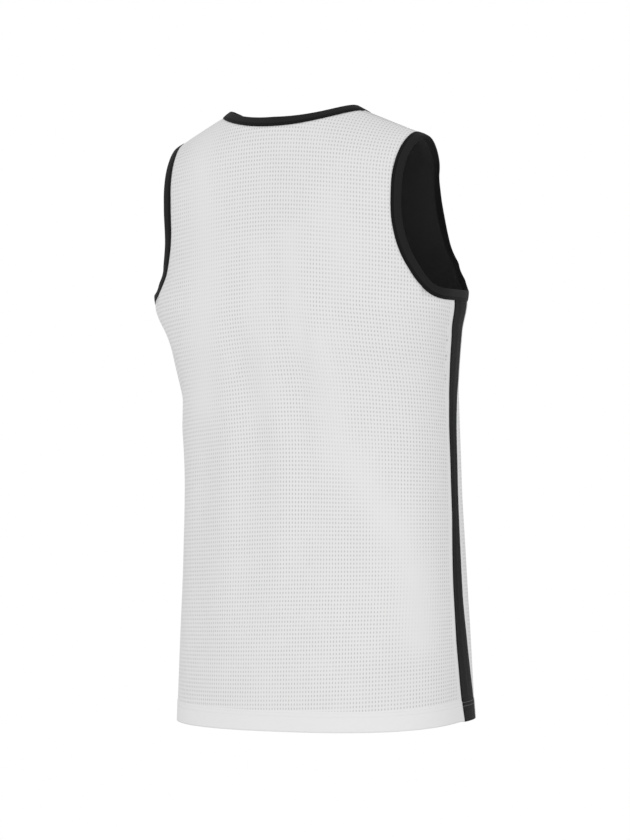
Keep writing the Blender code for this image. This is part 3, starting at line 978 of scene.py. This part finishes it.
def mesh_cloth(sizes):
    """White knit with rows of small upright holes, left out of the hem and the seams."""
    finish, shader, start = new_finish("white_mesh_cloth", sizes.cloth_colour, 0.82, sheen=0.10)
    chart = start.add("UVMap", {"uv_map": "knit"})
    u, v = chart.split()
    to_side, above_hem = start.add("UVMap", {"uv_map": "edges"}).split()
    # A hole is an upright oval in the middle of its cell, with an uneven outline.
    across = (u / sizes.hole_pitch_across).math("FRACT") - 0.5
    up = (v / sizes.hole_pitch_up).math("FRACT") - 0.5
    wander = knit_noise(chart, start, 0.0021, 0.0027) - 0.5
    x = across * (2 * sizes.hole_pitch_across / sizes.hole_width)
    y = up * (2 * sizes.hole_pitch_up / sizes.hole_height)
    away = (x * x + y * y) ** 0.5 + wander * 0.5
    # The hem and the seams have none, and they fade in soft patches and where cloth is drawn.
    band = above_hem.ramp(sizes.hem_height + 0.0010, sizes.hem_height + 0.0016)
    cloud = knit_noise(chart, start, 0.06, 0.09, 3.0)
    closed, _ = start.add("UVMap", {"uv_map": "drawn"}).split()
    patch = knit_noise(chart, start, 0.035, 0.030).ramp(0.25, 0.60, 0.80, 1.0)
    inner = band * to_side.ramp(0.0052, 0.0092)
    hole = away.ramp(1.35, 0.65) * inner * patch * (1 - closed)
    loops = waves(u, sizes.hole_pitch_across / 4) * waves(v, sizes.hole_pitch_up / 5)
    plain = (cloud * 0.7 + loops * 0.3).mix(tinted(sizes.cloth_colour, 0.965), sizes.cloth_colour)
    hem = (1 - band) * 0.8
    plain = hem.mix(plain, tinted(sizes.cloth_colour, 1.01))
    colour = hole.mix(plain, tinted(sizes.cloth_colour, sizes.hole_tone))
    height = (1 - hole) * 0.8 + loops * 0.12 + cloud * 0.08
    dress(shader, start, colour, hole.ramp(0.0, 1.0, 0.80, 0.95), height, relief=0.00025)
    return finish


def inner_cloth(sizes):
    """Smooth black knit with fine wales, for the inner layers."""
    finish, shader, start = new_finish(
        "black_inner_cloth", sizes.lining_colour, 0.85, sheen=0.05, specular=0.15
    )
    chart = start.add("UVMap", {"uv_map": "knit"})
    u, v = chart.split()
    cloud = knit_noise(chart, start, 0.05, 0.08, 3.0)
    wales = waves(u, 0.0009) * 0.6 + waves(v, 0.0007) * 0.4
    colour = tone(cloud * 0.6 + wales * 0.4, sizes.lining_colour, 0.2)
    dress(shader, start, colour, cloud.ramp(0.2, 0.8, 0.80, 0.90), wales, relief=0.00015)
    return finish


def rib_cloth(sizes):
    """Black rib knit of the bindings, with painted shade along the seam and round the rim."""
    finish, shader, start = new_finish(
        "black_binding_cloth", sizes.trim_colour, 0.80, sheen=0.04, specular=0.10
    )
    chart = start.add("UVMap", {"uv_map": "knit"})
    girth, along = chart.split()
    grain = knit_noise(chart, start, 0.004, 0.0015)
    ribs = waves(along, 0.0011)
    # groove_and_shade is a groove in the bump, and in the colour it marks painted shade by the
    # seam.
    groove_and_shade = (girth - 0.0014).math("ABSOLUTE").ramp(0.0, 0.0006)
    rim = (girth - BINDING_WIDTH / 2).math("ABSOLUTE").ramp(0.0040, 0.0054, 1.0, 0.45)
    colour = tone(ribs * 0.5 + grain * 0.5, sizes.trim_colour, 0.15)
    # Painted shade: the colour goes near black in the groove by the seam and darker towards the
    # rim.
    colour = (groove_and_shade * rim).mix(tinted(sizes.trim_colour, 0.1), colour)
    height = ribs * 0.25 + grain * 0.15 + groove_and_shade * 0.6
    dress(shader, start, colour, grain.ramp(0.2, 0.8, 0.76, 0.86), height, relief=0.0002)
    return finish


def strip_cloth(sizes):
    """Black knit of the side strips, with its wales running up the strip and painted shade along
    its edges.
    """
    finish, shader, start = new_finish(
        "black_strip_cloth", sizes.strip_colour, 0.80, sheen=0.04, specular=0.10
    )
    chart = start.add("UVMap", {"uv_map": "knit"})
    across, up = chart.split()
    to_edge, _ = start.add("UVMap", {"uv_map": "edges"}).split()
    streak = knit_noise(chart, start, 0.0035, 0.12, 3.0)
    wales = waves(across, 0.0010)
    courses = waves(up, 0.0012)
    colour = tone(wales * 0.3 + streak * 0.7, sizes.strip_colour, 0.3)
    # Painted shade: the colour goes near black within about 3 mm of the strip's edges, at its
    # seams.
    colour = to_edge.ramp(0.0010, 0.0028).mix(tinted(sizes.strip_colour, 0.05), colour)
    height = wales * 0.4 + courses * 0.2 + streak * 0.4
    dress(shader, start, colour, streak.ramp(0.2, 0.8, 0.76, 0.86), height, relief=0.0002)
    return finish


def thread(name, colour):
    """Twisted sewing thread."""
    finish, shader, start = new_finish(name, colour, 0.6, sheen=0.1)
    place = start.add("TexCoord", None, None, 3)
    grain = start.add("TexNoise", None, {"Vector": place, "Scale": 1800.0, "Detail": 2.0})
    shade = grain.mix(tinted(colour, 0.85), tinted(colour, 1.1))
    dress(shader, start, shade, height=grain, relief=0.0001)
    return finish


# ---------------------------------------------------------------- settings


class JerseyClothSettings(bpy.types.PropertyGroup):
    """The main cloth: its folds, hem and mesh holes."""

    fold_depth: bpy.props.FloatProperty(
        name="Fold Depth", description="Share of the folds' full depth",
        default=1.0, min=0.0, max=1.5,
    )
    hem_height: bpy.props.FloatProperty(
        name="Hem Height", description="Height of the turned hem", default=0.0235, unit="LENGTH"
    )
    hole_pitch_across: bpy.props.FloatProperty(
        name="Hole Pitch Across", description="From one hole to the next in a row",
        default=0.00375, unit="LENGTH",
    )
    hole_pitch_up: bpy.props.FloatProperty(
        name="Hole Pitch Up", description="From one row of holes to the next",
        default=0.00487, unit="LENGTH",
    )
    hole_width: bpy.props.FloatProperty(
        name="Hole Width", description="Width of one hole in the mesh",
        default=0.00145, unit="LENGTH",
    )
    hole_height: bpy.props.FloatProperty(
        name="Hole Height", description="Height of one hole in the mesh",
        default=0.0027, unit="LENGTH",
    )
    cloth_colour: bpy.props.FloatVectorProperty(
        name="Cloth Colour", description="Colour of the mesh cloth", subtype="COLOR", size=4,
        default=(0.80, 0.80, 0.80, 1.0), min=0.0, max=1.0,
    )
    hole_tone: bpy.props.FloatProperty(
        name="Hole Tone", description="Brightness of a hole as a share of its cloth's",
        default=0.71, min=0.0, max=1.0,
    )
    lining_colour: bpy.props.FloatVectorProperty(
        name="Lining Colour", description="Colour of the inner layers", subtype="COLOR", size=4,
        default=(0.036, 0.036, 0.037, 1.0), min=0.0, max=1.0,
    )
    hem_thread_colour: bpy.props.FloatVectorProperty(
        name="Hem Thread Colour", description="Colour of the hem's stitches",
        subtype="COLOR", size=4, default=(0.78, 0.78, 0.78, 1.0), min=0.0, max=1.0,
    )


class JerseyTrimSettings(bpy.types.PropertyGroup):
    """The black trim: bindings, side strips and their stitches."""

    trim_colour: bpy.props.FloatVectorProperty(
        name="Trim Colour", description="Colour of the bindings", subtype="COLOR", size=4,
        default=(0.0145, 0.0145, 0.0150, 1.0), min=0.0, max=1.0,
    )
    strip_colour: bpy.props.FloatVectorProperty(
        name="Strip Colour", description="Colour of the side strips", subtype="COLOR", size=4,
        default=(0.0092, 0.0092, 0.0096, 1.0), min=0.0, max=1.0,
    )
    thread_colour: bpy.props.FloatVectorProperty(
        name="Thread Colour", description="Colour of the stitches on the strips",
        subtype="COLOR", size=4, default=(0.26, 0.26, 0.26, 1.0), min=0.0, max=1.0,
    )
    binding_proud: bpy.props.FloatProperty(
        name="Binding Proud", description="How far a binding stands out from the cloth",
        default=0.0007, unit="LENGTH",
    )
    stitch_length: bpy.props.FloatProperty(
        name="Stitch Length", description="Length of one stitch", default=0.0030, unit="LENGTH"
    )
    thread_width: bpy.props.FloatProperty(
        name="Thread Width", description="Width of the sewing thread", default=0.0005, unit="LENGTH"
    )


class JerseyStageSettings(bpy.types.PropertyGroup):
    """The floor, the lights and the camera."""

    camera_turn: bpy.props.FloatProperty(
        name="Camera Turn", description="How far round from the front the camera stands",
        default=np.radians(210.0), subtype="ANGLE",
    )
    camera_distance: bpy.props.FloatProperty(
        name="Camera Distance", description="From the jersey's middle to the camera",
        default=4.5, unit="LENGTH",
    )
    view_height: bpy.props.FloatProperty(
        name="View Height", description="Height that the view takes in",
        default=1.0, unit="LENGTH",
    )
    floor_drop: bpy.props.FloatProperty(
        name="Floor Drop", description="From the shoulders down to the floor",
        default=1.05, unit="LENGTH",
    )
    brightness: bpy.props.FloatProperty(
        name="Brightness", description="Share of the studio light", default=1.0, min=0.0, max=4.0
    )


# ---------------------------------------------------------------- the pieces


def panel_grids(context):
    cloth = context.scene.jersey_cloth
    return cloth_panels(cloth.fold_depth, cloth.hem_height)


class JERSEY_OT_add_panels(bpy.types.Operator):
    """Add the white mesh panels of the back and the front"""

    bl_idname = "jersey.add_panels"
    bl_label = "Mesh Panels"

    def execute(self, context):
        finish = mesh_cloth(context.scene.jersey_cloth)
        for side, panel in panel_grids(context).items():
            builder = cloth_sheet(panel.surface(0.0), panel.normals, panel.charts)
            name, node = side + "_mesh_panel", side + "_panel"
            piece = finish_mesh(name, builder, finish, node)
            thicken(piece, PANEL_WALL)
            flat, area = panel.flat_size()
        return {"FINISHED"}


class JERSEY_OT_add_inner_layers(bpy.types.Operator):
    """Add the black inner layers behind the two panels"""

    bl_idname = "jersey.add_inner_layers"
    bl_label = "Inner Layers"

    def execute(self, context):
        finish = inner_cloth(context.scene.jersey_cloth)
        for side, panel in panel_grids(context).items():
            charts = {"knit": panel.charts["knit"]}
            builder = cloth_sheet(panel.surface(PANEL_WALL + SEAM_GAP), panel.normals, charts)
            name, node = side + "_inner_layer", side + "_lining"
            piece = finish_mesh(name, builder, finish, node)
            thicken(piece, LINING_WALL)
            flat, area = panel.flat_size()
        return {"FINISHED"}


def strip_surface(hem_height):
    """Places, normals and charts of the strip on the wearer's left."""
    places, normals = half_strip()
    across = np.linalg.norm(np.diff(places, axis=1), axis=-1).cumsum(axis=1)
    across = np.pad(across, ((0, 0), (1, 0)))
    above_hem = places[..., 2] - places[:1, :, 2]
    share = across / across[:, -1:]
    crown = STRIP_CROWN * np.sin(np.pi * share) ** 0.5
    ribs = STRIP_RIB * np.sin(2 * np.pi * STRIP_RIBS * share)
    ribs = ribs * smooth((above_hem - hem_height) / STRIP_RIB_START)
    rise = hem_rise(above_hem, hem_height) + crown + ribs
    to_edge = np.minimum(across, across[:, -1:] - across)
    charts = {
        "knit": np.stack([across, above_hem], axis=-1),
        "edges": np.stack([to_edge, above_hem], axis=-1),
    }
    return places + normals * rise[..., None], normals, charts


class JERSEY_OT_add_side_strips(bpy.types.Operator):
    """Add the black strips between the panels, from the armholes to the hem"""

    bl_idname = "jersey.add_side_strips"
    bl_label = "Side Strips"

    def execute(self, context):
        finish = strip_cloth(context.scene.jersey_trim)
        places, normals, charts = strip_surface(context.scene.jersey_cloth.hem_height)
        for side, turn in SIDES.items():
            builder = cloth_sheet(places * turn, normals * turn, charts)
            name = side + "_side_strip"
            piece = finish_mesh(name, builder, finish, "side_strip_" + side)
            thicken(piece, WHOLE_WALL)
        return {"FINISHED"}


def fine_loop(edge, normals, count):
    """A closed edge and its normals, at count even stations."""
    closed = closed_loop(edge)
    along = run_lengths(closed)
    wanted = np.linspace(0, along[-1], count + 1)[:-1]
    facing = unit(values_at(wanted, along, closed_loop(normals)))
    return values_at(wanted, along, closed), facing


class JERSEY_OT_add_bindings(bpy.types.Operator):
    """Add the black bindings round the neck and the armholes"""

    bl_idname = "jersey.add_bindings"
    bl_label = "Bindings"

    def execute(self, context):
        trim = context.scene.jersey_trim
        finish = rib_cloth(trim)
        panels = panel_grids(context).values()
        neck, neck_normals = fine_loop(*neck_edge(*panels), NECK_STATIONS)
        ways = edge_ways(neck, neck_normals, neck.mean(axis=0), neck_stand(neck))
        self.add(trim, finish, "neck_band", "neck_binding", neck, neck_normals, ways)

        strip, strip_normals = half_strip()
        edge, normals = arm_edge(*panels)
        edge = np.concatenate([edge, strip[-1, ::-1]])
        normals = np.concatenate([normals, strip_normals[-1, ::-1]])
        arm, arm_normals = fine_loop(edge, normals, ARM_STATIONS)
        ways = edge_ways(arm, arm_normals, arm.mean(axis=0), armhole_stand(arm))
        for side, turn in SIDES.items():
            name, node = side + "_armhole_band", "armhole_binding_" + side
            self.add(trim, finish, name, node, arm * turn, arm_normals * turn, ways * turn)
        return {"FINISHED"}

    def add(self, trim, finish, name, node, edge, normals, ways):
        builder = binding_band(edge, normals, ways, trim)
        piece = finish_mesh(name, builder, finish, node)


class JERSEY_OT_add_stitches(bpy.types.Operator):
    """Add the two rows of stitches that hold the hem, on the panels and on the strips"""

    bl_idname = "jersey.add_stitches"
    bl_label = "Hem Stitches"

    def execute(self, context):
        cloth, trim = context.scene.jersey_cloth, context.scene.jersey_trim
        rows = [cloth.hem_height - drop for drop in STITCH_ROWS]
        white = thread("hem_thread", cloth.hem_thread_colour)
        for side, panel in panel_grids(context).items():
            builder = bmesh.new()
            for height in rows:
                self.row(builder, panel.surface(0.0), panel.normals, height, trim)
            finish_mesh(side + "_hem_stitches", builder, white)
        grey = thread("strip_thread", trim.thread_colour)
        places, normals, _ = strip_surface(cloth.hem_height)
        for side, turn in SIDES.items():
            builder = bmesh.new()
            for height in rows:
                self.row(builder, places * turn, normals * turn, height, trim)
            finish_mesh(side + "_strip_stitches", builder, grey)
        return {"FINISHED"}

    def row(self, builder, places, normals, height, trim):
        """One row of stitches at that height above the hem."""
        above = places[..., 2] - places[:1, :, 2]
        low = slice(2 * HEM_ROWS)
        run = np.array([
            [np.interp(height, above[low, column], places[low, column, k]) for k in range(3)]
            for column in range(places.shape[1])
        ])
        add_stitches(builder, run, normals[HEM_ROWS], trim)


class JERSEY_OT_add_stage(bpy.types.Operator):
    """Add the floor, the soft lights and the camera"""

    bl_idname = "jersey.add_stage"
    bl_label = "Stage"

    def execute(self, context):
        stage = context.scene.jersey_stage
        away = Vector((np.sin(stage.camera_turn), -np.cos(stage.camera_turn), 0.0))
        right = Vector((np.cos(stage.camera_turn), np.sin(stage.camera_turn), 0.0))
        up = Vector((0.0, 0.0, 1.0))
        self.camera(context, stage, VIEW_MIDDLE + away * stage.camera_distance + up * CAMERA_RISE)
        for name, towards, distance, size, power in LIGHTS:
            way = right * towards[0] + up * towards[1] + away * towards[2]
            place = VIEW_MIDDLE + way.normalized() * distance
            self.light(context, name, place, size, power * stage.brightness)
        self.floor(context, stage)
        self.world(context, stage)
        context.scene.view_settings.view_transform = "Standard"
        return {"FINISHED"}

    def aim(self, thing, place):
        thing.location = place
        thing.rotation_euler = (VIEW_MIDDLE - place).to_track_quat("-Z", "Y").to_euler()

    def camera(self, context, stage, place):
        lens = bpy.data.cameras.new("Camera")
        lens.lens = lens.sensor_width * stage.camera_distance / stage.view_height
        camera = bpy.data.objects.new("Camera", lens)
        context.scene.collection.objects.link(camera)
        self.aim(camera, place)
        context.scene.camera = camera

    def light(self, context, name, place, size, power):
        area = bpy.data.lights.new(name, "AREA")
        area.shape = "DISK"
        area.size = size
        area.energy = power
        lamp = bpy.data.objects.new(name, area)
        context.scene.collection.objects.link(lamp)
        self.aim(lamp, place)

    def floor(self, context, stage):
        builder = bmesh.new()
        lift = Matrix.Translation((0.0, 0.0, -stage.floor_drop))
        bmesh.ops.create_circle(
            builder, cap_ends=True, segments=96, radius=FLOOR_RADIUS, matrix=lift
        )
        mesh = bpy.data.meshes.new("floor")
        builder.to_mesh(mesh)
        builder.free()
        finish, _, _ = new_finish("pale_floor", (0.85, 0.85, 0.85, 1.0), 0.9)
        mesh.materials.append(finish)
        floor = bpy.data.objects.new("floor", mesh)
        context.scene.collection.objects.link(floor)

    def world(self, context, stage):
        world = bpy.data.worlds.new("studio")
        world.use_nodes = True
        start = Shade(world.node_tree)
        seen = start.add("LightPath")
        strength = seen.ramp(0.0, 1.0, AMBIENT * stage.brightness, 1.0)
        background = world.node_tree.nodes["Background"]
        background.inputs["Color"].default_value = (1.0, 1.0, 1.0, 1.0)
        world.node_tree.links.new(strength.socket, background.inputs["Strength"])
        context.scene.world = world


class JERSEY_PT_pieces(bpy.types.Panel):
    """The jersey's pieces and their sizes"""

    bl_idname = "JERSEY_PT_pieces"
    bl_label = "Basketball Jersey"
    bl_space_type = "VIEW_3D"
    bl_region_type = "UI"
    bl_category = "Jersey"

    def draw(self, context):
        for name in SETTINGS:
            box = self.layout.box()
            group = getattr(context.scene, name)
            for size in group.bl_rna.annotations:
                box.prop(group, size)
        for operator in OPERATORS:
            self.layout.operator(operator.bl_idname)


SETTINGS = {
    "jersey_cloth": JerseyClothSettings,
    "jersey_trim": JerseyTrimSettings,
    "jersey_stage": JerseyStageSettings,
}
OPERATORS = (
    JERSEY_OT_add_stage,
    JERSEY_OT_add_panels,
    JERSEY_OT_add_inner_layers,
    JERSEY_OT_add_side_strips,
    JERSEY_OT_add_bindings,
    JERSEY_OT_add_stitches,
)


def register():
    for made in (*SETTINGS.values(), *OPERATORS, JERSEY_PT_pieces):
        bpy.utils.register_class(made)
    for name, group in SETTINGS.items():
        setattr(bpy.types.Scene, name, bpy.props.PointerProperty(type=group))


def unregister():
    for name in SETTINGS:
        delattr(bpy.types.Scene, name)
    for made in (JERSEY_PT_pieces, *OPERATORS[::-1], *SETTINGS.values()):
        bpy.utils.unregister_class(made)


def main():
    register()
    bpy.ops.jersey.add_stage()
    bpy.ops.jersey.add_panels()
    bpy.ops.jersey.add_inner_layers()
    bpy.ops.jersey.add_side_strips()
    bpy.ops.jersey.add_bindings()
    bpy.ops.jersey.add_stitches()


if __name__ == "__main__":
    main()
